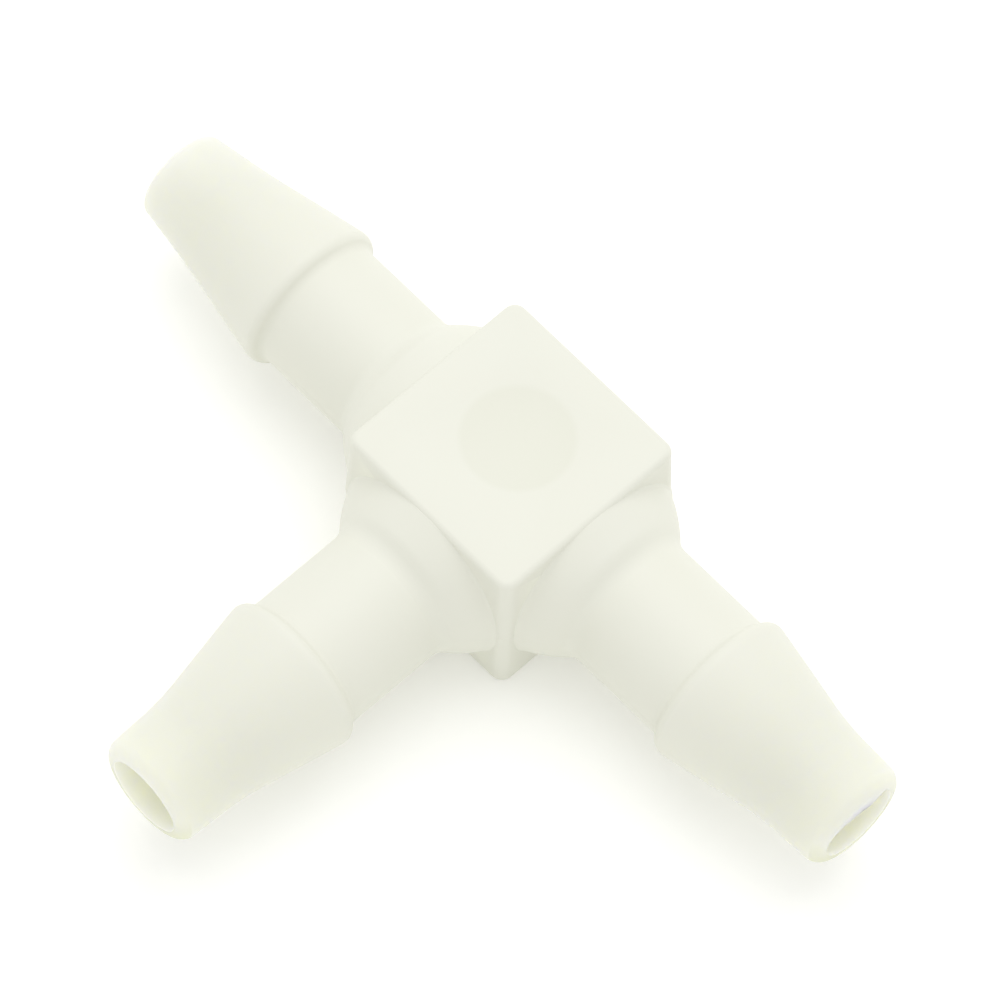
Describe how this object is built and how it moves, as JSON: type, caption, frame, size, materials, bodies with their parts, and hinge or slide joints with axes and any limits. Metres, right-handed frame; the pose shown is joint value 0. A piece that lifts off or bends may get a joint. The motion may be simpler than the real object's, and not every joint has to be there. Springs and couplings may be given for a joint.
{
  "type": "barbed tee connector",
  "caption": "Moulded plastic tee for small-bore irrigation hose: a square hub whose straight run and side branch end in hollow barbed spigots.",
  "frame": {"origin": "where the run bore's axis and the branch bore's axis cross, in the middle of the hub", "axes": "+X along the run, from the left barb to the right barb; the branch points along -Y; +Z is square to the hub's flat faces and out of the one with the ejector mark"},
  "size_m": [0.0288, 0.0178, 0.0064],
  "materials": {
    "white_plastic": "satin, natural white moulded nylon, slightly translucent"
  },
  "bodies": {
    "root": {"hub_block": "white_plastic", "run_collar_right": "white_plastic", "run_barb_right": "white_plastic", "run_collar_left": "white_plastic", "run_barb_left": "white_plastic", "branch_collar": "white_plastic", "branch_barb": "white_plastic"}
  },
  "joints": []
}
